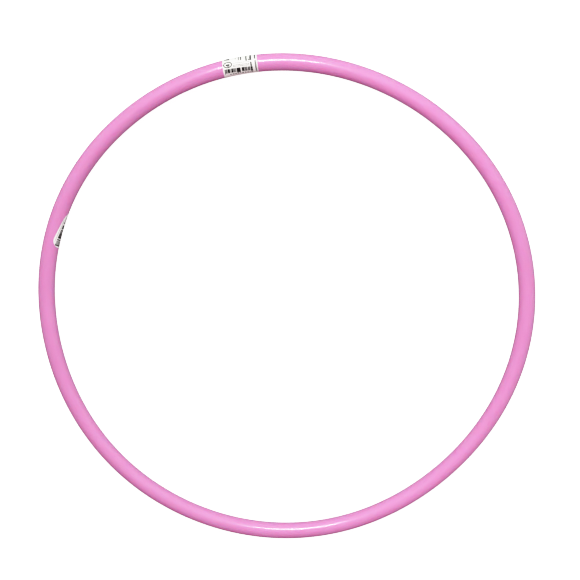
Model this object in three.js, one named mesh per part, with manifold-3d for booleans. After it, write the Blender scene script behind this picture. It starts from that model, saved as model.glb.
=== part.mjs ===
// A 60 cm rhythmic gymnastics hoop: a pink plastic tube bent into a ring, closed by a barbed plug
// that two staples hold, with a wrap-around label over the joint and a small sticker beside it.
// Millimetres, +Z up. The hoop lies flat: +Z is the ring's axis, and the origin is on the surface
// that it rests on, under the centre of the ring.
//
// Two angles place everything. A ring angle runs round the hoop, anticlockwise from +X. A tube
// angle runs round the tube's section from its top: +90 degrees is the outside of the ring, -90 is
// the side that faces its centre, and 180 is the underside.

import * as THREE from 'three';
import * as BufferGeometryUtils from 'three/addons/utils/BufferGeometryUtils.js';
import Module from 'manifold-3d';

const wasm = await Module();
wasm.setup();

// ---------------------------------------------------------------- driving dimensions

const HOOP_DIAMETER = 600;                 // outside
const TUBE_DIAMETER = 20;                  // outside
const WALL = 1.75;
const SEAM_ANGLE = THREE.MathUtils.degToRad(100.2);   // where the tube's two ends meet
const SEAM_GAP = 0.35;                     // between the two ends
const RING_STEPS = 91;                     // straight facets round the hoop
const TUBE_SIDES = 24;                     // facets round the outside of the tube
const BORE_SIDES = 16;                     // facets round its bore

const PLUG = { length: 70, radius: 7.55, barb: 7.8, neck: 7.0, bore: 2.5, waist: 36, barbs: 4, sides: 20 };
const STAPLE = { crown: 10, leg: 6, wire: 0.6, width: 1.2, seat: 0.2, offset: 12, point: 0.5 };
const STAPLE_CLEARANCE = 0.25;

const PAPER = 0.12;                        // thickness of the label and the sticker
const PAPER_CLEARANCE = 0.1;               // between paper and tube
const LABEL = {
  length: 40, width: 58, corner: 2, skew: THREE.MathUtils.degToRad(2),
  ringAngle: SEAM_ANGLE, tubeAngle: 0,
};
const STICKER = {
  length: 44.5, width: 20, corner: 9.5, skew: THREE.MathUtils.degToRad(12),
  ringAngle: THREE.MathUtils.degToRad(160.5), tubeAngle: THREE.MathUtils.degToRad(-91),
};

// ---------------------------------------------------------------- derived dimensions

const TUBE_RADIUS = TUBE_DIAMETER / 2;
const BORE_RADIUS = TUBE_RADIUS - WALL;
const RING_RADIUS = HOOP_DIAMETER / 2 - TUBE_RADIUS;  // to the middle of the tube
const HALF_SEAM = SEAM_GAP / 2 / RING_RADIUS;
const RING_STEP = (2 * Math.PI - 2 * HALF_SEAM) / RING_STEPS;

// ---------------------------------------------------------------- materials

const plastic = (color) => new THREE.MeshStandardMaterial({ color, roughness: 0.34, metalness: 0 });
const paper = (color) => new THREE.MeshStandardMaterial({ color, roughness: 0.72, metalness: 0 });
const steel = () => new THREE.MeshStandardMaterial({ color: 0xb9bcc2, roughness: 0.3, metalness: 1 });

// ---------------------------------------------------------------- paths and sections

// An arc of the ring's centre line, from a larger ring angle to a smaller one. Seen by a section
// that is swept along it, x points away from the ring's centre and y points up.
class RingArc extends THREE.Curve {

  constructor(startAngle, endAngle) {
    super();
    this.startAngle = startAngle;
    this.endAngle = endAngle;
  }

  angleAt(t) {
    return THREE.MathUtils.lerp(this.startAngle, this.endAngle, t);
  }

  getPoint(t, target = new THREE.Vector3()) {
    const angle = this.angleAt(t);
    return target.set(RING_RADIUS * Math.cos(angle), RING_RADIUS * Math.sin(angle), TUBE_RADIUS);
  }

  computeFrenetFrames(segments) {
    const frames = { tangents: [], normals: [], binormals: [] };
    for (let i = 0; i <= segments; i++) {
      const angle = this.angleAt(i / segments);
      frames.tangents.push(new THREE.Vector3(Math.sin(angle), -Math.cos(angle), 0));
      frames.normals.push(new THREE.Vector3(Math.cos(angle), Math.sin(angle), 0));
      frames.binormals.push(new THREE.Vector3(0, 0, 1));
    }
    return frames;
  }

}

const sweep = (shape, path, steps) =>
  new THREE.ExtrudeGeometry(shape, { steps, extrudePath: path, bevelEnabled: false });

// A point of a regular polygon round the tube's centre, at an angle from straight down. `flat` is
// the distance from the centre to the middle of a side, and one side lies flat underneath.
function polygonPoint(angle, flat, sides) {
  const side = 2 * Math.PI / sides;
  const radius = flat / Math.cos(angle - Math.round(angle / side) * side);
  return new THREE.Vector2(radius * Math.sin(angle), -radius * Math.cos(angle));
}

function polygonCorners(flat, sides) {
  return Array.from({ length: sides }, (_, i) => polygonPoint((i + 0.5) * 2 * Math.PI / sides, flat, sides));
}

function pipeSection(outerFlat, innerFlat, outerSides, innerSides) {
  const section = new THREE.Shape(polygonCorners(outerFlat, outerSides));
  section.holes.push(new THREE.Path(polygonCorners(innerFlat, innerSides)));
  return section;
}

// ---------------------------------------------------------------- solids

function toSolid(geometry) {
  const bare = geometry.clone();
  bare.deleteAttribute('normal');
  bare.deleteAttribute('uv');
  const merged = BufferGeometryUtils.mergeVertices(bare, 1e-4);
  return new wasm.Manifold(new wasm.Mesh({
    numProp: 3,
    vertProperties: new Float32Array(merged.attributes.position.array),
    triVerts: new Uint32Array(merged.index.array),
  }));
}

function toGeometry(solid) {
  const mesh = solid.getMesh();
  const geometry = new THREE.BufferGeometry();
  geometry.setAttribute('position', new THREE.BufferAttribute(mesh.vertProperties, 3));
  geometry.setIndex(new THREE.BufferAttribute(mesh.triVerts, 1));
  geometry.computeVertexNormals();
  return geometry;
}

const cut = (geometry, tools) =>
  toGeometry(tools.reduce((solid, tool) => solid.subtract(toSolid(tool)), toSolid(geometry)));

// Moves every vertex of a geometry by a function of its x, y and z.
function reshape(geometry, move) {
  const position = geometry.attributes.position;
  for (let i = 0; i < position.count; i++) {
    position.setXYZ(i, ...move(position.getX(i), position.getY(i), position.getZ(i)));
  }
  return geometry;
}

// ---------------------------------------------------------------- staples

// The staples' frame: x runs along the tube, y from the tube's centre towards the ring's, z is up.
function atRingAngle(ringAngle) {
  const along = new THREE.Vector3(-Math.sin(ringAngle), Math.cos(ringAngle), 0);
  const inwards = new THREE.Vector3(-Math.cos(ringAngle), -Math.sin(ringAngle), 0);
  const up = new THREE.Vector3(0, 0, 1);
  return new THREE.Matrix4()
    .makeBasis(along, inwards, up)
    .setPosition(RING_RADIUS * Math.cos(ringAngle), RING_RADIUS * Math.sin(ringAngle), TUBE_RADIUS);
}

const CROWN_TOP = TUBE_RADIUS - STAPLE.seat;
const LEG_TIP = CROWN_TOP - STAPLE.leg;

function stapleGeometry() {
  const outer = STAPLE.crown / 2;
  const inner = outer - STAPLE.wire;
  const outline = new THREE.Shape([
    new THREE.Vector2(-outer, LEG_TIP + STAPLE.point),
    new THREE.Vector2(-inner, LEG_TIP),
    new THREE.Vector2(-inner, CROWN_TOP - STAPLE.wire),
    new THREE.Vector2(inner, CROWN_TOP - STAPLE.wire),
    new THREE.Vector2(inner, LEG_TIP),
    new THREE.Vector2(outer, LEG_TIP + STAPLE.point),
    new THREE.Vector2(outer, CROWN_TOP),
    new THREE.Vector2(-outer, CROWN_TOP),
  ]);
  const geometry = new THREE.ExtrudeGeometry(outline, { depth: STAPLE.width, bevelEnabled: false });
  return geometry.translate(0, 0, -STAPLE.width / 2);
}

function boxBetween(x0, x1, y0, y1, halfZ) {
  return new THREE.BoxGeometry(x1 - x0, y1 - y0, 2 * halfZ).translate((x0 + x1) / 2, (y0 + y1) / 2, 0);
}

// The dent that the crown presses into the tube, and the two holes that the legs make.
function stapleCutters(matrix) {
  const outside = STAPLE.crown / 2 + STAPLE_CLEARANCE;
  const inside = STAPLE.crown / 2 - STAPLE.wire - STAPLE_CLEARANCE;
  const halfWidth = STAPLE.width / 2 + STAPLE_CLEARANCE;
  const bottom = LEG_TIP - STAPLE_CLEARANCE;
  const beyond = TUBE_RADIUS + 1;
  const dentFloor = CROWN_TOP - STAPLE.wire - STAPLE_CLEARANCE;
  return [
    boxBetween(-outside, outside, dentFloor, beyond, halfWidth),
    boxBetween(-outside, -inside, bottom, beyond, halfWidth),
    boxBetween(inside, outside, bottom, beyond, halfWidth),
  ].map((box) => box.applyMatrix4(matrix));
}

const staplePlaces = [-1, 1].map((side) => atRingAngle(SEAM_ANGLE + side * STAPLE.offset / RING_RADIUS));
const allStapleCutters = staplePlaces.flatMap(stapleCutters);

// ---------------------------------------------------------------- pieces

function hoopTube() {
  const section = pipeSection(TUBE_RADIUS, BORE_RADIUS, TUBE_SIDES, BORE_SIDES);
  const path = new RingArc(SEAM_ANGLE - HALF_SEAM, SEAM_ANGLE + HALF_SEAM - 2 * Math.PI);
  return cut(sweep(section, path, RING_STEPS), allStapleCutters);
}

// One end of the plug as [radius, distance from the middle]: plain under the staple, then barbs
// that slope towards the end, so that it goes in easily and holds.
function plugHalfProfile() {
  const half = PLUG.length / 2;
  const waist = PLUG.waist / 2;
  const lead = 2;
  const pitch = (half - lead - waist) / PLUG.barbs;
  const points = [[PLUG.radius, waist]];
  for (let i = 0; i < PLUG.barbs; i++) {
    points.push([PLUG.neck, waist + i * pitch + 0.3]);
    points.push([PLUG.neck, waist + i * pitch + 1]);
    points.push([PLUG.barb, waist + i * pitch + 1.3]);
    points.push([PLUG.barb, waist + i * pitch + 1.8]);
  }
  points.push([PLUG.neck - 0.8, half]);
  points.push([PLUG.bore, half]);
  return points;
}

function jointPlug() {
  const upper = plugHalfProfile().map(([radius, y]) => new THREE.Vector2(radius, y));
  const lower = upper.map((point) => new THREE.Vector2(point.x, -point.y)).reverse();
  const profile = [...lower, ...upper, lower[0].clone()];
  const straight = new THREE.LatheGeometry(profile, PLUG.sides);
  const bent = reshape(straight, (x, y, z) => {
    const ringAngle = SEAM_ANGLE + y / RING_RADIUS;
    const radius = RING_RADIUS + x;
    return [radius * Math.cos(ringAngle), radius * Math.sin(ringAngle), TUBE_RADIUS + z];
  });
  return cut(bent, allStapleCutters);
}

// A paper oblong stuck on the tube. `length` runs along the tube, towards larger ring angles, and
// `width` goes round it, towards smaller tube angles, both turned by `skew`. It is a thin shell
// that follows the tube's facets, cut to the oblong's outline. The joint label stops short of
// itself underneath, so that the hoop still rests on its tube.
function paperOnTube({ length, width, corner, skew, ringAngle, tubeAngle }) {
  const near = TUBE_RADIUS + PAPER_CLEARANCE;
  const middle = SEAM_ANGLE + Math.round((ringAngle - SEAM_ANGLE) / RING_STEP) * RING_STEP;
  const path = new RingArc(middle + 2 * RING_STEP, middle - 2 * RING_STEP);
  const shell = sweep(pipeSection(near + PAPER, near, TUBE_SIDES, TUBE_SIDES), path, 4);

  const paperRadius = near + PAPER / 2;
  const depth = 4;
  const block = new THREE.BoxGeometry(length, width, depth, 12, Math.round(width), 1);
  const outline = reshape(block, (x, y, z) => {
    const intoCorner = Math.max(0, Math.abs(y) - (width / 2 - corner));
    const cornerCut = corner - Math.sqrt(Math.max(0, corner ** 2 - intoCorner ** 2));
    const u = x * (1 - 2 * cornerCut / length);
    const along = u * Math.cos(skew) + y * Math.sin(skew);
    const around = y * Math.cos(skew) - u * Math.sin(skew);
    const tube = tubeAngle - around / paperRadius;
    const ring = ringAngle + along / (RING_RADIUS + paperRadius * Math.sin(tube));
    const outwards = RING_RADIUS + (paperRadius + z) * Math.sin(tube);
    const height = TUBE_RADIUS + (paperRadius + z) * Math.cos(tube);
    return [outwards * Math.cos(ring), outwards * Math.sin(ring), height];
  });
  return toGeometry(toSolid(shell).intersect(toSolid(outline)));
}

// ---------------------------------------------------------------- assembly

function piece(name, geometry, material) {
  const mesh = new THREE.Mesh(geometry, material);
  mesh.name = name;
  return mesh;
}

const hoop = new THREE.Group();
hoop.add(piece('hoop_tube', hoopTube(), plastic(0xe48cc6)));
hoop.add(piece('joint_plug', jointPlug(), plastic(0xe9e6df)));
['joint_staple_left', 'joint_staple_right'].forEach((name, i) => {
  const staple = piece(name, stapleGeometry(), steel());
  staple.applyMatrix4(staplePlaces[1 - i]);
  hoop.add(staple);
});
hoop.add(piece('joint_label', paperOnTube(LABEL), paper(0xf3f2ee)));
hoop.add(piece('barcode_sticker', paperOnTube(STICKER), paper(0xeef0ea)));

export default hoop;
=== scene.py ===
"""The looks of a pink rhythmic gymnastics hoop: a glossy plastic tube bent into a ring, a printed
label wrapped over its joint, a smaller printed sticker on the side that faces the centre, and the
plug and staples inside the joint.

Metres, +Z up. The hoop lies flat on the floor at z = 0. Two angles place everything on it, as in the
CAD model: a ring angle, anticlockwise round the hoop from +X, and a tube angle, round the tube's
section from its top, +90 degrees on the outside of the ring and -90 on the side facing its centre.
"""

import math

import bpy
import numpy as np
from mathutils import Matrix, Vector


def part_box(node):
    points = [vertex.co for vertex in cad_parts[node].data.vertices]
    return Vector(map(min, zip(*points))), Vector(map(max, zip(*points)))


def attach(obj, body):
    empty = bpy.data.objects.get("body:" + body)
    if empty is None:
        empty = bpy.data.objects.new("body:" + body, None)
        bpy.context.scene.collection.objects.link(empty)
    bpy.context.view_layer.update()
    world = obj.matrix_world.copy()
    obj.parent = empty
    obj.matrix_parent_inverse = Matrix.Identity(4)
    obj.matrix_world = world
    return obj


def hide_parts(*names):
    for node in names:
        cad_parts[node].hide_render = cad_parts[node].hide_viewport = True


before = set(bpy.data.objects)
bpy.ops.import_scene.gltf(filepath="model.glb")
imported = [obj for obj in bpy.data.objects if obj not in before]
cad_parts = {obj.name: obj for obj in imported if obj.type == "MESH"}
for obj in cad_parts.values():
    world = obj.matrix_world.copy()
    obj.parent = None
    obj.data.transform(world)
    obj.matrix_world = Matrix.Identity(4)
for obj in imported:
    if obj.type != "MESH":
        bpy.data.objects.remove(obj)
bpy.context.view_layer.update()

MM = 0.001


# ---------------------------------------------------------------- dimensions

def ring_angle_of(node):
    low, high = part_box(node)
    middle = (low + high) / 2
    return math.atan2(middle.y, middle.x)


tube_low, tube_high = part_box("hoop_tube")
TUBE_R = (tube_high.z - tube_low.z) / 2
RING_R = (tube_high.x - tube_low.x) / 2 - TUBE_R
MID_Z = (tube_high.z + tube_low.z) / 2
SEAM = ring_angle_of("joint_label")

WALL = 1.75 * MM
SEAM_GAP = 0.35 * MM
BORE_R = TUBE_R - WALL
PAPER = 0.09 * MM
GLUE = 0.02 * MM              # between the tube and the paper
INK = 0.03 * MM

# A sprung plastic ring is never quite round: (lobes, height, ring angle of one crest).
LOBES = (
    (2, 0.36 * MM, math.radians(-47)),
    (3, 1.4 * MM, math.radians(14)),
    (4, 0.42 * MM, math.radians(-5)),
    (5, 0.29 * MM, math.radians(6)),
    (6, 0.3 * MM, math.radians(38)),
)

# Both papers: length along the tube, width round it, corner radius, how far they are turned on it,
# and the ring and tube angles of their middle.
LABEL = dict(length=40 * MM, width=58 * MM, corner=2 * MM, skew=math.radians(2.0),
             ring=SEAM, tube=0.0)
STICKER = dict(length=44.5 * MM, width=20 * MM, corner=9.5 * MM, skew=math.radians(12),
               ring=ring_angle_of("barcode_sticker"), tube=math.radians(-91))

STAPLE_OFFSET = 12 * MM       # from the seam to the middle of each staple
STAPLE = dict(crown=10 * MM, leg=6 * MM, wire=0.6 * MM, width=1.2 * MM, seat=0.2 * MM)

# The plug: its waist is the plain length between the barbs of its two ends.
PLUG = dict(length=70 * MM, radius=7.55 * MM, barb=7.8 * MM, neck=7.0 * MM, bore=2.5 * MM,
            waist=36 * MM, barbs=4)

RING_STEPS = 480
TUBE_SIDES = 48
PLUG_SIDES = 64
PAPER_STEP = 0.8              # millimetres between a paper's or a mark's points

WHITE = 1.6                   # the light that is shown as pure white


# ---------------------------------------------------------------- places on the hoop

def ring_radius(ring):
    """The radius of the ring's centre line at a ring angle."""
    return RING_R + sum(height * np.cos(n * (ring - crest)) for n, height, crest in LOBES)


def on_tube(ring, tube, out):
    """Points at a ring angle, a tube angle and a distance from the tube's centre line."""
    ring, tube, out = np.broadcast_arrays(ring, tube, out)
    radius = ring_radius(ring) + out * np.sin(tube)
    return np.stack([radius * np.cos(ring), radius * np.sin(ring), MID_Z + out * np.cos(tube)], -1)


def on_paper(paper, u, v, lift):
    """Points on a stuck-on paper. u runs along the tube towards larger ring angles and v round it
    towards smaller tube angles, both from the paper's middle; lift is the height over the tube."""
    u, v, lift = np.broadcast_arrays(u, v, lift)
    along = u * math.cos(paper["skew"]) + v * math.sin(paper["skew"])
    around = v * math.cos(paper["skew"]) - u * math.sin(paper["skew"])
    tube = paper["tube"] - around / (TUBE_R + PAPER)
    ring = paper["ring"] + along / (RING_R + TUBE_R * np.sin(tube))
    return on_tube(ring, tube, TUBE_R + lift)


# ---------------------------------------------------------------- mesh building

def grid_faces(rows, columns, close_rows=False, close_columns=False):
    """Quads over points that are numbered row by row."""
    row = np.arange(rows if close_rows else rows - 1)[:, None]
    column = np.arange(columns if close_columns else columns - 1)[None, :]
    next_row, next_column = (row + 1) % rows, (column + 1) % columns
    corners = [row * columns + column, row * columns + next_column,
               next_row * columns + next_column, next_row * columns + column]
    return np.stack([np.broadcast_to(c, (row.size, column.size)) for c in corners], -1).reshape(-1, 4)


def slab(front, back, closed=False):
    """Vertices and faces of a thin closed solid between two grids of points. A closed slab joins
    its last column to its first."""
    rows, columns = front.shape[:2]
    count = rows * columns
    faces = grid_faces(rows, columns, close_columns=closed)
    index = np.arange(count).reshape(rows, columns)
    loops = [index[0], index[-1][::-1]]
    if not closed:
        loops = [np.concatenate([index[0], index[1:, -1], index[-1, -2::-1], index[-2:0:-1, 0]])]
    rims = []
    for loop in loops:
        after = np.roll(loop, -1)
        rims.append(np.stack([after, loop, loop + count, after + count], -1))
    points = np.concatenate([front.reshape(-1, 3), back.reshape(-1, 3)])
    return points, np.concatenate([faces, faces[:, ::-1] + count, *rims])


def joined(solids):
    """One set of vertices and faces from several."""
    points, faces, start = [], [], 0
    for solid_points, solid_faces in solids:
        points.append(solid_points)
        faces.append(solid_faces + start)
        start += len(solid_points)
    return np.concatenate(points), np.concatenate(faces)


def add_piece(name, points, faces, material, sharp=40):
    """A smooth-shaded mesh object with its faces pointing out. A face that names its last corner
    twice is a triangle."""
    mesh = bpy.data.meshes.new(name)
    mesh.from_pydata(points.tolist(), [], [f if f[2] != f[3] else f[:3] for f in faces.tolist()])
    mesh.materials.append(material)
    a, b, c, d = np.moveaxis(points[faces] - points.mean(0), 1, 0)
    inside_out = np.einsum("ij,ij->", a, np.cross(b, c) + np.cross(c, d)) < 0
    if inside_out:
        mesh.flip_normals()
    mesh.shade_smooth()
    mesh.set_sharp_from_angle(angle=math.radians(sharp))
    mesh.validate()
    piece = bpy.data.objects.new(name, mesh)
    bpy.context.scene.collection.objects.link(piece)
    return piece


def add_coordinates(piece, values):
    """Stores a place on the piece's own surface, in millimetres, for its material to read."""
    attribute = piece.data.attributes.new("surface_mm", "FLOAT_VECTOR", "POINT")
    attribute.data.foreach_set("vector", np.ascontiguousarray(values, dtype=np.float32).ravel())


# ---------------------------------------------------------------- materials

class Tree:
    """The node tree of a material or a world."""

    def __init__(self, owner):
        owner.use_nodes = True
        self.nodes = owner.node_tree.nodes
        self.links = owner.node_tree.links

    def add(self, kind, inputs=None, **settings):
        node = self.nodes.new(kind)
        for setting, value in settings.items():
            setattr(node, setting, value)
        for socket, value in (inputs or {}).items():
            self.set(node.inputs[socket], value)
        return node

    def set(self, socket, value):
        """Links another node's output to a socket, or gives it a plain value."""
        if isinstance(value, bpy.types.NodeSocket):
            self.links.new(value, socket)
        else:
            socket.default_value = value


class Look(Tree):
    """A material with a Principled shader, and short ways to add the nodes that feed it."""

    def __init__(self, name, **values):
        self.material = bpy.data.materials.new(name)
        super().__init__(self.material)
        self.shader = self.nodes["Principled BSDF"]
        for socket, value in values.items():
            self.feed(socket.replace("_", " "), value)

    def feed(self, socket, value):
        self.set(self.shader.inputs[socket], value)

    def stretched(self, vector, scale):
        return self.add("ShaderNodeMapping", {"Vector": vector, "Scale": scale}).outputs["Vector"]

    def surface(self, scale):
        """The piece's own surface coordinates, stretched."""
        source = self.add("ShaderNodeAttribute", attribute_name="surface_mm")
        return self.stretched(source.outputs["Vector"], scale)

    def place(self, scale):
        """The place in the piece's own axes, in millimetres, stretched."""
        source = self.add("ShaderNodeTexCoord")
        return self.stretched(source.outputs["Object"], [1000 * s for s in scale])

    def noise(self, vector, detail, roughness=0.5):
        return self.add("ShaderNodeTexNoise", {
            "Vector": vector, "Scale": 1.0, "Detail": detail, "Roughness": roughness}).outputs["Fac"]

    def ramp(self, value, start, end):
        """Maps a value in a straight line between two stops, each (value, result)."""
        node = self.add("ShaderNodeMapRange", {"Value": value, "From Min": start[0],
                        "From Max": end[0], "To Min": start[1], "To Max": end[1]})
        return node.outputs["Result"]

    def mix(self, factor, a, b):
        """Mixes two colours. The node's colour sockets are inputs 6 and 7, and output 2."""
        return self.add("ShaderNodeMix", {"Factor": factor, 6: a, 7: b}, data_type="RGBA").outputs[2]

    def sum(self, a, b):
        return self.add("ShaderNodeMath", {0: a, 1: b}, operation="ADD").outputs[0]

    def bump(self, *layers):
        """Layers are (height, distance in metres), each on top of the last."""
        normal = None
        for height, distance in layers:
            node = self.add("ShaderNodeBump", {"Height": height, "Distance": distance})
            if normal is not None:
                self.set(node.inputs["Normal"], normal)
            normal = node.outputs["Normal"]
        self.feed("Normal", normal)


def hoop_plastic():
    """Glossy pink polyethylene: drawn out along its length, a little cloudy, lightly scuffed."""
    look = Look("hoop_plastic", IOR=1.5, Subsurface_Weight=0.6, Subsurface_Scale=0.002,
                Subsurface_Radius=(1.0, 0.25, 0.45), Coat_Weight=1.0, Coat_Roughness=0.12)
    cloud = look.noise(look.surface((0.02, 0.08, 0.08)), 3)
    streak = look.noise(look.surface((0.012, 1.1, 1.1)), 4, 0.6)
    fleck = look.noise(look.surface((0.5, 0.5, 0.5)), 5, 0.65)
    tint = look.mix(look.ramp(cloud, (0.3, 0.0), (0.7, 1.0)),
                    (0.74, 0.242, 0.55, 1), (0.76, 0.266, 0.58, 1))
    tint = look.mix(look.ramp(streak, (0.35, 0.0), (0.9, 0.5)), tint, (0.71, 0.212, 0.50, 1))
    tint = look.mix(look.ramp(fleck, (0.62, 0.0), (0.85, 0.35)), tint, (0.80, 0.38, 0.64, 1))
    look.feed("Base Color", tint)

    scuff = look.noise(look.surface((0.35, 2.2, 2.2)), 6, 0.7)
    look.feed("Roughness", look.sum(look.ramp(streak, (0.3, 0.36), (0.8, 0.42)),
                                    look.ramp(scuff, (0.58, 0.0), (0.8, 0.12))))
    peel = look.noise(look.surface((0.25, 0.5, 0.5)), 2)
    look.bump((streak, 0.012 * MM), (peel, 0.012 * MM), (scuff, 0.003 * MM))
    return look.material


def label_paper(name, base, shade):
    """White self-adhesive paper: a soft fibre mottle, a slight sheen and handled edges."""
    look = Look(name, IOR=1.45)
    fibre = look.noise(look.surface((1.6, 1.6, 1.6)), 6, 0.7)
    patch = look.noise(look.surface((0.12, 0.12, 0.12)), 3)
    darker = [0.9 * channel for channel in shade[:3]] + [1]
    colour = look.mix(look.ramp(patch, (0.35, 0.0), (0.75, 1.0)), base, shade)
    look.feed("Base Color", look.mix(look.ramp(fibre, (0.5, 0.0), (0.8, 0.25)), colour, darker))
    look.feed("Roughness", look.ramp(fibre, (0.3, 0.48), (0.7, 0.62)))
    look.bump((fibre, 0.012 * MM), (patch, 0.05 * MM))
    return look.material


def ink(name):
    """Thermal print: near black, thinner where the print head skipped."""
    look = Look(name, IOR=1.45, Specular_IOR_Level=0.15)
    skip = look.noise(look.surface((2.5, 2.5, 2.5)), 4, 0.7)
    look.feed("Base Color", look.mix(look.ramp(skip, (0.5, 0.0), (0.8, 1.0)),
                                     (0.007, 0.005, 0.005, 1), (0.035, 0.028, 0.026, 1)))
    look.feed("Roughness", look.ramp(skip, (0.3, 0.42), (0.7, 0.55)))
    return look.material


def plug_plastic():
    """Natural off-white moulded plastic, with fine tool marks round it."""
    look = Look("plug_plastic", IOR=1.5, Subsurface_Weight=0.2, Subsurface_Scale=0.002,
                Subsurface_Radius=(1.0, 0.8, 0.6))
    turning = look.noise(look.surface((3.0, 0.15, 0.15)), 3)
    cloud = look.noise(look.surface((0.15, 0.15, 0.15)), 3)
    look.feed("Base Color", look.mix(look.ramp(cloud, (0.3, 0.0), (0.7, 1.0)),
                                     (0.74, 0.71, 0.64, 1), (0.83, 0.81, 0.76, 1)))
    look.feed("Roughness", look.ramp(turning, (0.3, 0.42), (0.7, 0.6)))
    look.bump((turning, 0.03 * MM))
    return look.material


def staple_steel():
    """Zinc-plated drawn wire, with fine lines along it and a duller spangle."""
    look = Look("staple_steel", Metallic=1.0)
    drawn = look.noise(look.surface((0.3, 9.0, 9.0)), 3)
    spangle = look.noise(look.place((1.2, 1.2, 1.2)), 4, 0.6)
    look.feed("Base Color", look.mix(look.ramp(spangle, (0.35, 0.0), (0.7, 1.0)),
                                     (0.46, 0.47, 0.50, 1), (0.62, 0.63, 0.65, 1)))
    look.feed("Roughness", look.ramp(drawn, (0.3, 0.26), (0.7, 0.44)))
    look.bump((drawn, 0.01 * MM))
    return look.material


def floor_paint():
    """A plain matt white floor that glows, like a lit shooting table."""
    look = Look("floor_paint", Specular_IOR_Level=0.2, Roughness=0.8, Emission_Color=(1, 1, 1, 1),
                Emission_Strength=1.1)
    grain = look.noise(look.place((0.02, 0.02, 0.02)), 2)
    look.feed("Base Color", look.mix(look.ramp(grain, (0.3, 0.0), (0.7, 1.0)),
                                     (0.90, 0.90, 0.90, 1), (0.92, 0.92, 0.92, 1)))
    return look.material


# ---------------------------------------------------------------- tube

def wall_loop():
    """The tube's wall from its cut end, along the outside to the other end, and back along the bore:
    ring angles and distances from the tube's centre line. The cut edges are slightly broken."""
    half_gap = SEAM_GAP / 2 / RING_R
    whole = 2 * math.pi - 2 * half_gap
    edge = 0.2 * MM
    steps = np.linspace(edge / RING_R, 1 - edge / RING_R, RING_STEPS) * whole
    ring = np.concatenate([[0], steps, [whole]])
    ring = np.concatenate([ring, ring[::-1]]) + SEAM + half_gap
    outside = np.concatenate([[TUBE_R - edge], np.full(RING_STEPS, TUBE_R), [TUBE_R - edge]])
    bore = np.concatenate([[BORE_R + edge], np.full(RING_STEPS, BORE_R), [BORE_R + edge]])
    return ring, np.concatenate([outside, bore])


def ripple(ring, tube):
    """The tube's faint waviness, left by drawing and bending it."""
    return 0.01 * MM * (np.sin(53 * ring + 2.0 * np.sin(tube)) + np.sin(31 * ring + tube + 1.0)
                        + 1.5 * np.cos(2 * tube + 7 * ring))


def make_tube():
    ring, out = wall_loop()
    tube = np.linspace(0, 2 * math.pi, TUBE_SIDES, endpoint=False)
    ring, tube, out = np.broadcast_arrays(ring[:, None], tube[None, :], out[:, None])
    points = on_tube(ring, tube, out + ripple(ring, tube))
    faces = grid_faces(*ring.shape, close_rows=True, close_columns=True)
    piece = add_piece("hoop_tube_skin", points.reshape(-1, 3), faces, hoop_plastic())
    along = (ring - SEAM) * RING_R
    surface = np.stack([along, out * np.sin(tube), out * np.cos(tube)], -1) / MM
    add_coordinates(piece, surface)
    return piece


# ---------------------------------------------------------------- plug

def plug_outline():
    """One end of the plug as (distance from the middle, radius): plain under the staple, then barbs."""
    half, waist, lead = PLUG["length"] / 2, PLUG["waist"] / 2, 2 * MM
    pitch = (half - lead - waist) / PLUG["barbs"]
    outline = [(waist - 0.3 * MM, PLUG["radius"]), (waist, PLUG["radius"] - 0.1 * MM)]
    for i in range(PLUG["barbs"]):
        start = waist + i * pitch
        outline += [(start + 0.3 * MM, PLUG["neck"] + 0.15 * MM), (start + 0.5 * MM, PLUG["neck"]),
                    (start + 1.0 * MM, PLUG["neck"]), (start + 1.2 * MM, PLUG["barb"] - 0.1 * MM),
                    (start + 1.3 * MM, PLUG["barb"]), (start + 1.7 * MM, PLUG["barb"] - 0.02 * MM)]
    outline += [(half - 0.3 * MM, PLUG["neck"] - 0.65 * MM), (half, PLUG["neck"] - 0.95 * MM),
                (half, PLUG["bore"] + 0.3 * MM), (half - 0.3 * MM, PLUG["bore"])]
    return outline


def make_plug():
    upper = plug_outline()
    loop = np.array([(-along, radius) for along, radius in reversed(upper)] + upper)
    along, out = loop[:, :1], loop[:, 1:]
    tube = np.linspace(0, 2 * math.pi, PLUG_SIDES, endpoint=False)[None, :]
    points = on_tube(SEAM + along / RING_R, tube, out)
    faces = grid_faces(len(loop), PLUG_SIDES, close_rows=True, close_columns=True)
    piece = add_piece("joint_plug_body", points.reshape(-1, 3), faces, plug_plastic(), sharp=35)
    along, tube, out = np.broadcast_arrays(along, tube, out)
    add_coordinates(piece, np.stack([along, out * np.sin(tube), out * np.cos(tube)], -1) / MM)
    return piece


# ---------------------------------------------------------------- staples

def staple_path():
    """The wire's centre line, from one leg's tip over the crown to the other's: x along the tube, y
    from the tube's centre towards the ring's."""
    top = TUBE_R - STAPLE["seat"] - STAPLE["wire"] / 2
    side = (STAPLE["crown"] - STAPLE["wire"]) / 2
    tip = TUBE_R - STAPLE["seat"] - STAPLE["leg"]
    bend = 0.7 * MM
    leg = [(-side, y) for y in np.linspace(tip, top - bend, 9)]
    leg += [(-side + bend * (1 - math.cos(a)), top - bend + bend * math.sin(a))
            for a in np.radians([18, 36, 54, 72])]
    crown = [(x, top) for x in np.linspace(-side + bend, side - bend, 11)]
    return np.array(leg + crown + [(-x, y) for x, y in reversed(leg)])


def rounded_section(width, height, radius, steps=4):
    """A closed loop round an oblong with round corners."""
    loop = []
    for quarter in range(4):
        start = quarter * math.pi / 2
        cx = (width / 2 - radius) * (1 if quarter in (0, 3) else -1)
        cy = (height / 2 - radius) * (1 if quarter in (0, 1) else -1)
        for a in np.linspace(start, start + math.pi / 2, steps):
            loop.append((cx + radius * math.cos(a), cy + radius * math.sin(a)))
    return np.array(loop)


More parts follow.
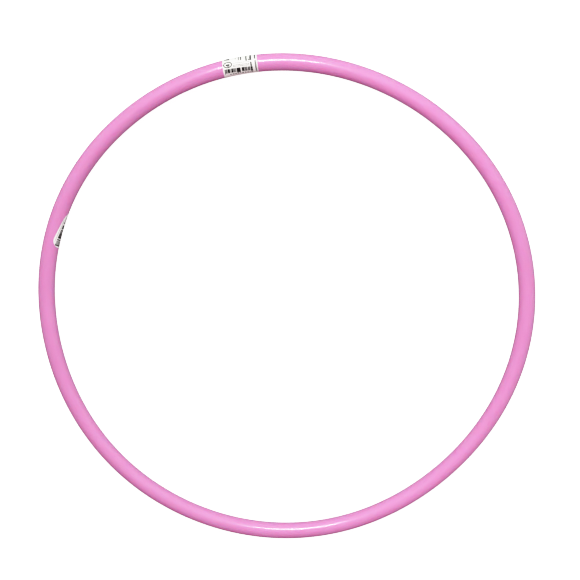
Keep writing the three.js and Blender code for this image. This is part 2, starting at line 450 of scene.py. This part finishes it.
def make_staple(name, offset):
    """A staple pressed into the tube from the ring's inner side, its legs' tips pinched thin."""
    path = staple_path()
    ahead = np.gradient(path, axis=0)
    ahead /= np.linalg.norm(ahead, axis=1, keepdims=True)
    normal = np.stack([-ahead[:, 1], ahead[:, 0]], -1)
    section = rounded_section(STAPLE["width"], STAPLE["wire"], 0.15 * MM)
    taper = np.ones(len(path))
    taper[[0, -1]] = 0.25
    taper[[1, -2]] = 0.85
    thick = section[None, :, 1] * taper[:, None]
    x = path[:, :1] + normal[:, :1] * thick
    y = path[:, 1:] + normal[:, 1:] * thick
    z = np.broadcast_to(section[None, :, 0], x.shape)
    ring = SEAM + (offset + x) / (RING_R - TUBE_R)
    radius = ring_radius(ring) - y
    points = np.stack([radius * np.cos(ring), radius * np.sin(ring), MID_Z + z], -1)
    rows, columns = x.shape
    count = rows * columns
    tips = np.array([points[0].mean(0), points[-1].mean(0)])
    side = grid_faces(rows, columns, close_columns=True)
    first, last = np.arange(columns), np.arange(columns) + (rows - 1) * columns
    tip = np.full(columns, count)
    caps = [np.stack([np.roll(first, -1), first, tip, tip], -1),
            np.stack([last, np.roll(last, -1), tip + 1, tip + 1], -1)]
    faces = np.concatenate([side, *caps])
    points = np.concatenate([points.reshape(-1, 3), tips])
    piece = add_piece(name, points, faces, staple_steel(), sharp=50)
    length = np.arange(rows)[:, None] * np.ones((1, columns))
    surface = np.stack([length, z / MM, thick / MM], -1).reshape(-1, 3)
    add_coordinates(piece, np.concatenate([surface, np.zeros((2, 3))]))
    return piece


# ---------------------------------------------------------------- papers

def bell(value, width):
    """A smooth hump, 1 high where value is 0."""
    return np.exp(-(value / width) ** 2)


def label_lift(u, v):
    """How far the joint label stands off the tube: creased over the seam, dented over the staples,
    rucked where it is squeezed on the ring's inner side, and lifting a little at its edges."""
    tube = LABEL["tube"] - v / TUBE_R
    inner = bell(tube + math.pi / 2, 0.7)
    outer = bell(tube - math.pi / 2, 0.9)
    edge = np.abs(u) / (LABEL["length"] / 2)
    lift = GLUE - 0.012 * MM * bell(u, 0.5 * MM)
    for side in (-1, 1):
        on_crown = bell(u - side * STAPLE_OFFSET, 4 * MM) * bell(tube + math.pi / 2, 0.09)
        lift = lift - 0.015 * MM * on_crown
    lift = lift + 0.05 * MM * inner * (1 + np.sin(u / MM * 1.35 + 1.2 * np.sin(v / MM * 0.5)))
    lift = lift + 0.10 * MM * inner * edge ** 8
    lift = lift + 0.05 * MM * outer * edge ** 10
    band = 3 * MM
    end = np.clip((np.abs(v) - (LABEL["width"] / 2 - band)) / band, 0, 1)
    return lift + 0.02 * MM * end ** 2


def sticker_lift(u, v):
    """The sticker is flatter, and its two upper corners have begun to peel."""
    along = u / (STICKER["length"] / 2)
    around = v / (STICKER["width"] / 2)
    corner = np.clip(np.abs(along), 0, 1) ** 6 * np.clip(-around, 0, 1) ** 4
    wave = 0.03 * MM * (1 + np.sin(u / MM * 0.8 + 0.9) * np.cos(v / MM * 0.35))
    return GLUE + wave + 0.35 * MM * corner + 0.06 * MM * np.abs(along) ** 12


def make_paper(name, shape, lift, material):
    """A sheet of paper with round corners, stuck on the tube."""
    step = PAPER_STEP * MM
    rows = int(shape["width"] / step) + 1
    columns = int(shape["length"] / step) + 1
    half = shape["width"] / 2
    turn = np.linspace(0, math.pi / 2, 6)
    corner_rows = half - shape["corner"] * (1 - np.sin(turn))
    v = np.concatenate([-corner_rows[::-1], np.linspace(-corner_rows[0], corner_rows[0], rows)[1:-1],
                        corner_rows])
    into = np.clip(np.abs(v) - (half - shape["corner"]), 0, shape["corner"])
    cut = shape["corner"] - np.sqrt(shape["corner"] ** 2 - into ** 2)
    u = np.linspace(-1, 1, columns)[None, :] * (shape["length"] / 2 - cut)[:, None]
    v = np.broadcast_to(v[:, None], u.shape)
    height = lift(u, v)
    front = on_paper(shape, u, v, height + PAPER)
    back = on_paper(shape, u, v, height)
    points, faces = slab(front, back)
    piece = add_piece(name, points, faces, material, sharp=60)
    surface = np.stack([u / MM, v / MM, np.zeros_like(u)], -1).reshape(-1, 3)
    add_coordinates(piece, np.concatenate([surface, surface + (0, 0, 1)]))
    return piece


# ---------------------------------------------------------------- print

class Print:
    """Marks printed on a paper. Places are millimetres from the paper's top left corner as it is
    read: x to the right, which is towards smaller ring angles, and y down it. The print is a little
    askew on the paper, by slant millimetres down for each one to the right."""

    def __init__(self, shape, lift, slant):
        self.shape, self.lift, self.slant, self.solids = shape, lift, slant, []

    def points(self, x, y, over):
        """Places on the paper, at a height over its face."""
        u = self.shape["length"] / 2 - x * MM
        v = y * MM - self.shape["width"] / 2 - u * self.slant
        return on_paper(self.shape, u, v, self.lift(u, v) + PAPER + over)

    def add(self, x, y, closed=False):
        """Ink over a grid of places, sunk a little into the paper."""
        self.solids.append(slab(self.points(x, y, INK), self.points(x, y, -0.3 * INK), closed))

    def bar(self, x0, x1, y0, y1):
        columns = max(2, int(round((x1 - x0) / PAPER_STEP)) + 1)
        rows = max(2, int(round((y1 - y0) / PAPER_STEP)) + 1)
        x, y = np.meshgrid(np.linspace(x0, x1, columns), np.linspace(y0, y1, rows))
        self.add(x, y)

    def ring(self, x, y, half_wide, half_high, stroke):
        """An oval line round (x, y)."""
        turn = np.linspace(2 * math.pi, 0, 40, endpoint=False)[None, :]
        edge = np.array([[-stroke / 2], [stroke / 2]])
        across = (half_wide + edge) * np.cos(turn)
        down = (half_high + edge) * np.sin(turn)
        self.add(x + across, y + down, closed=True)

    def words(self, rng, x0, x1, y, height, longest=4.5):
        """A line of text as a row of plain dashes."""
        x = x0
        while x < x1 - 0.6:
            end = min(x + rng.uniform(0.9, longest), x1)
            self.bar(x, end, y, y + height)
            x = end + height * rng.uniform(0.6, 1.0)

    def bar_code(self, rng, y0, y1, guard, blocks):
        """Blocks of bars as (start, end, number of bars, share of ink). The first, middle and last bars
        are longer by guard. They follow no code, so there is nothing to scan."""
        for i, (start, end, count, ink_share) in enumerate(blocks):
            pitch = (end - start) / count
            for bar in range(count):
                wide = pitch * min(0.97, ink_share * rng.uniform(0.95, 1.05))
                long = (i, bar) in ((0, 0), (len(blocks) // 2, 0), (len(blocks) - 1, count - 1))
                x = start + bar * pitch
                self.bar(x, x + wide, y0, y1 + (guard if long else 0))

    def make(self, name, material):
        points, faces = joined(self.solids)
        piece = add_piece(name, points, faces, material, sharp=30)
        add_coordinates(piece, points / MM)
        return piece


def label_print():
    """The joint label: lines of text, a row of tall strokes with three thick dashes at its left, an
    oval with two blocks in it, a bar code with a row under it, and a column of dashes down the right."""
    rng = np.random.default_rng(11)
    mark = Print(LABEL, label_lift, 0.02)
    for y in (2.0, 3.6, 5.2, 6.8):
        mark.words(rng, 2.5, rng.uniform(28, 37), y, 0.75)
    mark.words(rng, 3.0, 33, 9.0, 1.1, 6)
    for x, wide, y0, y1 in ((15.1, 0.5, 12.5, 20), (18.5, 0.9, 11, 22), (20.9, 1.2, 13, 22.3),
                            (27.0, 1.4, 14.5, 24), (31.7, 1.8, 10.5, 23.4), (37.0, 1.2, 12, 22.2)):
        mark.bar(x, x + wide, y0, y1)
    mark.bar(30.0, 31.5, 21.8, 23.4)
    for step in range(3):
        mark.bar(2.2 + 2 * step, 4.15 + 2 * step, 13.0, 18.5 + 0.5 * step)
    mark.ring(5.9, 26.0, 4.6, 3.1, 1.0)
    mark.bar(3.8, 8.0, 25.4, 27.2)
    mark.bar(5.2, 7.2, 27.4, 28.2)
    for y, height in ((25.0, 0.3), (27.2, 0.5), (28.7, 0.4)):
        mark.words(rng, 12.0, 31, y, height, 2.2)
    mark.bar(31.9, 33.4, 25.6, 30.6)
    mark.bar_code(rng, 30.8, 35.8, 0.9, (
        (1.6, 4.8, 3, 0.80), (5.0, 7.8, 1, 0.97), (8.3, 9.1, 1, 0.7), (9.3, 11.5, 1, 0.97),
        (11.7, 15.0, 3, 0.78), (15.4, 20.2, 1, 0.97), (21.4, 24.5, 1, 0.97), (24.6, 28.0, 3, 0.84),
        (28.4, 31.2, 2, 0.88), (31.6, 34.0, 1, 0.97)))
    mark.words(rng, 7.0, 34.0, 37.3, 1.2, 2.5)
    for y in np.arange(24.5, 38.0, 1.5):
        mark.bar(37.0, 38.6, y, y + 1.2)
    for y in (46.0, 48.0, 50.0):
        mark.words(rng, 2.5, 34, y, 0.7)
    return mark.make("joint_label_print", ink("label_ink"))


def sticker_print():
    """The sticker: one line of small text beside a bar code, and a row under it."""
    rng = np.random.default_rng(5)
    mark = Print(STICKER, sticker_lift, -0.035)
    mark.words(rng, 6.0, 34.0, 1.9, 0.35, 1.6)
    mark.bar_code(rng, 3.9, 14.4, 1.0, (
        (1.7, 3.4, 1, 0.97), (3.7, 8.2, 4, 0.62), (8.5, 10.1, 1, 0.9), (11.0, 13.8, 1, 0.97),
        (13.8, 17.4, 3, 0.9), (17.5, 20.2, 3, 0.8), (20.3, 21.8, 1, 0.97), (22.8, 25.1, 2, 0.93),
        (25.1, 27.8, 1, 0.97), (29.4, 31.8, 3, 0.7), (32.6, 39.0, 7, 0.42)))
    mark.words(rng, 11.0, 34.0, 16.4, 1.1, 1.6)
    return mark.make("barcode_sticker_print", ink("sticker_ink"))


# ---------------------------------------------------------------- stage

def make_floor():
    reach = 6.0
    corners = [(-reach, -reach, 0), (reach, -reach, 0), (reach, reach, 0), (-reach, reach, 0)]
    mesh = bpy.data.meshes.new("floor")
    mesh.from_pydata(corners, [], [(0, 1, 2, 3)])
    mesh.materials.append(floor_paint())
    floor = bpy.data.objects.new("floor", mesh)
    floor.visible_diffuse = False
    floor.visible_glossy = False
    bpy.context.scene.collection.objects.link(floor)


def add_softbox(name, place, target, width, height, power, mirrored=True):
    """A rectangular lamp. One that isn't mirrored lights the hoop without showing as a highlight."""
    light = bpy.data.lights.new(name, "AREA")
    light.shape = "RECTANGLE"
    light.size, light.size_y = width, height
    light.energy = power
    lamp = bpy.data.objects.new(name, light)
    lamp.location = place
    lamp.rotation_euler = (Vector(target) - Vector(place)).to_track_quat("-Z", "Y").to_euler()
    lamp.visible_camera = False
    lamp.visible_glossy = mirrored
    bpy.context.scene.collection.objects.link(lamp)


def make_world(level, growth, tint, below):
    """A studio whose light comes mostly from +Y, with a plain white backdrop. level is the light from
    all round, growth is how fast more is added towards +X, +Y and +Z, tint is the colour of what is
    added, and below is the share of the light that comes up from under the horizon."""
    world = bpy.data.worlds.new("studio")
    sky = Tree(world)
    direction = sky.add("ShaderNodeTexCoord").outputs["Generated"]
    slope = sky.add("ShaderNodeVectorMath", {0: direction, 1: growth}, operation="DOT_PRODUCT")
    light = sky.add("ShaderNodeVectorMath", {0: slope.outputs["Value"], 1: tint, 2: level},
                    operation="MULTIPLY_ADD")
    lit = sky.add("ShaderNodeVectorMath", {0: light.outputs["Vector"], 1: (0.03, 0.03, 0.03)},
                  operation="MAXIMUM")
    height = sky.add("ShaderNodeSeparateXYZ", {0: direction}).outputs["Z"]
    horizon = sky.add("ShaderNodeMapRange", {
        "Value": height, "From Min": -0.5, "From Max": 0.1, "To Min": below})
    room = sky.nodes["Background"]
    sky.set(room.inputs["Color"], lit.outputs["Vector"])
    sky.set(room.inputs["Strength"], horizon.outputs["Result"])
    backdrop = sky.add("ShaderNodeBackground", {"Color": (1, 1, 1, 1), "Strength": WHITE})
    seen = sky.add("ShaderNodeLightPath").outputs["Is Camera Ray"]
    choose = sky.add("ShaderNodeMixShader", {
        0: seen, 1: room.outputs["Background"], 2: backdrop.outputs["Background"]})
    sky.set(sky.nodes["World Output"].inputs["Surface"], choose.outputs["Shader"])
    bpy.context.scene.world = world


def make_camera():
    """Above the hoop, 13 degrees off its axis towards +Y, with the ring a little below the middle."""
    centre = Vector((0, 0, MID_Z))
    back = Vector((0.0150, 0.2297, 0.9732)).normalized()
    right = Vector((1, 0, -back.x / back.z)).normalized()
    up = back.cross(right)
    camera = bpy.data.objects.new("camera", bpy.data.cameras.new("camera"))
    turn = Matrix((right, up, back)).transposed().to_4x4()
    camera.matrix_world = Matrix.Translation(centre + 1.378 * back) @ turn
    camera.data.sensor_width = 36
    camera.data.lens = 70.69
    camera.data.shift_x = 0.0084
    camera.data.shift_y = 0.0290
    bpy.context.scene.collection.objects.link(camera)
    bpy.context.scene.camera = camera


def set_camera_response():
    """How bright the light that reaches the camera is shown: as it is, with a soft shoulder that keeps
    the brightest plastic from clipping."""
    settings = bpy.context.scene.view_settings
    settings.view_transform = "Standard"
    settings.use_curve_mapping = True
    settings.curve_mapping.white_level = (WHITE, WHITE, WHITE)
    curve = settings.curve_mapping.curves[3]
    for light, shown in ((0.3, 0.3), (0.6, 0.6), (0.86, 0.82), (1.05, 0.915), (1.25, 0.97)):
        curve.points.new(light / WHITE, shown)
    settings.curve_mapping.update()


def make_stage():
    make_floor()
    add_softbox("key", place=(-0.145, 1.26, 1.92), target=(0, 0, 0), width=0.75, height=0.26, power=25)
    add_softbox("fill", place=(0.12, 0, 0.22), target=(0.12, 0, 0), width=0.25, height=0.55, power=0.2,
                mirrored=False)
    make_world(level=(0.69, 0.635, 0.64), growth=(0.11, 0.60, 0.14), tint=(0.73, 1.0, 0.88), below=0.45)
    set_camera_response()


# ---------------------------------------------------------------- assembly

make_stage()
make_camera()

tube = make_tube()
plug = make_plug()
staples = {"joint_staple_left": make_staple("joint_staple_left_wire", STAPLE_OFFSET),
           "joint_staple_right": make_staple("joint_staple_right_wire", -STAPLE_OFFSET)}
label = make_paper("joint_label_paper", LABEL, label_lift,
                   label_paper("label_paper", (0.93, 0.92, 0.885, 1), (0.89, 0.88, 0.84, 1)))
sticker = make_paper("barcode_sticker_paper", STICKER, sticker_lift,
                     label_paper("sticker_paper", (0.96, 0.95, 0.935, 1), (0.93, 0.92, 0.90, 1)))
label_marks = label_print()
sticker_marks = sticker_print()

for piece, slot in ((tube, "hoop_plastic"), (plug, "plug_plastic"),
                    (staples["joint_staple_left"], "staple_steel"),
                    (staples["joint_staple_right"], "staple_steel"),
                    (label, "label_paper"), (label_marks, "label_paper"),
                    (sticker, "sticker_paper"), (sticker_marks, "sticker_paper")):
    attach(piece, "root")

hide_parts("hoop_tube")
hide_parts("joint_plug")
for node, staple in staples.items():
    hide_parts(node)
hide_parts("joint_label")
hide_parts("barcode_sticker")
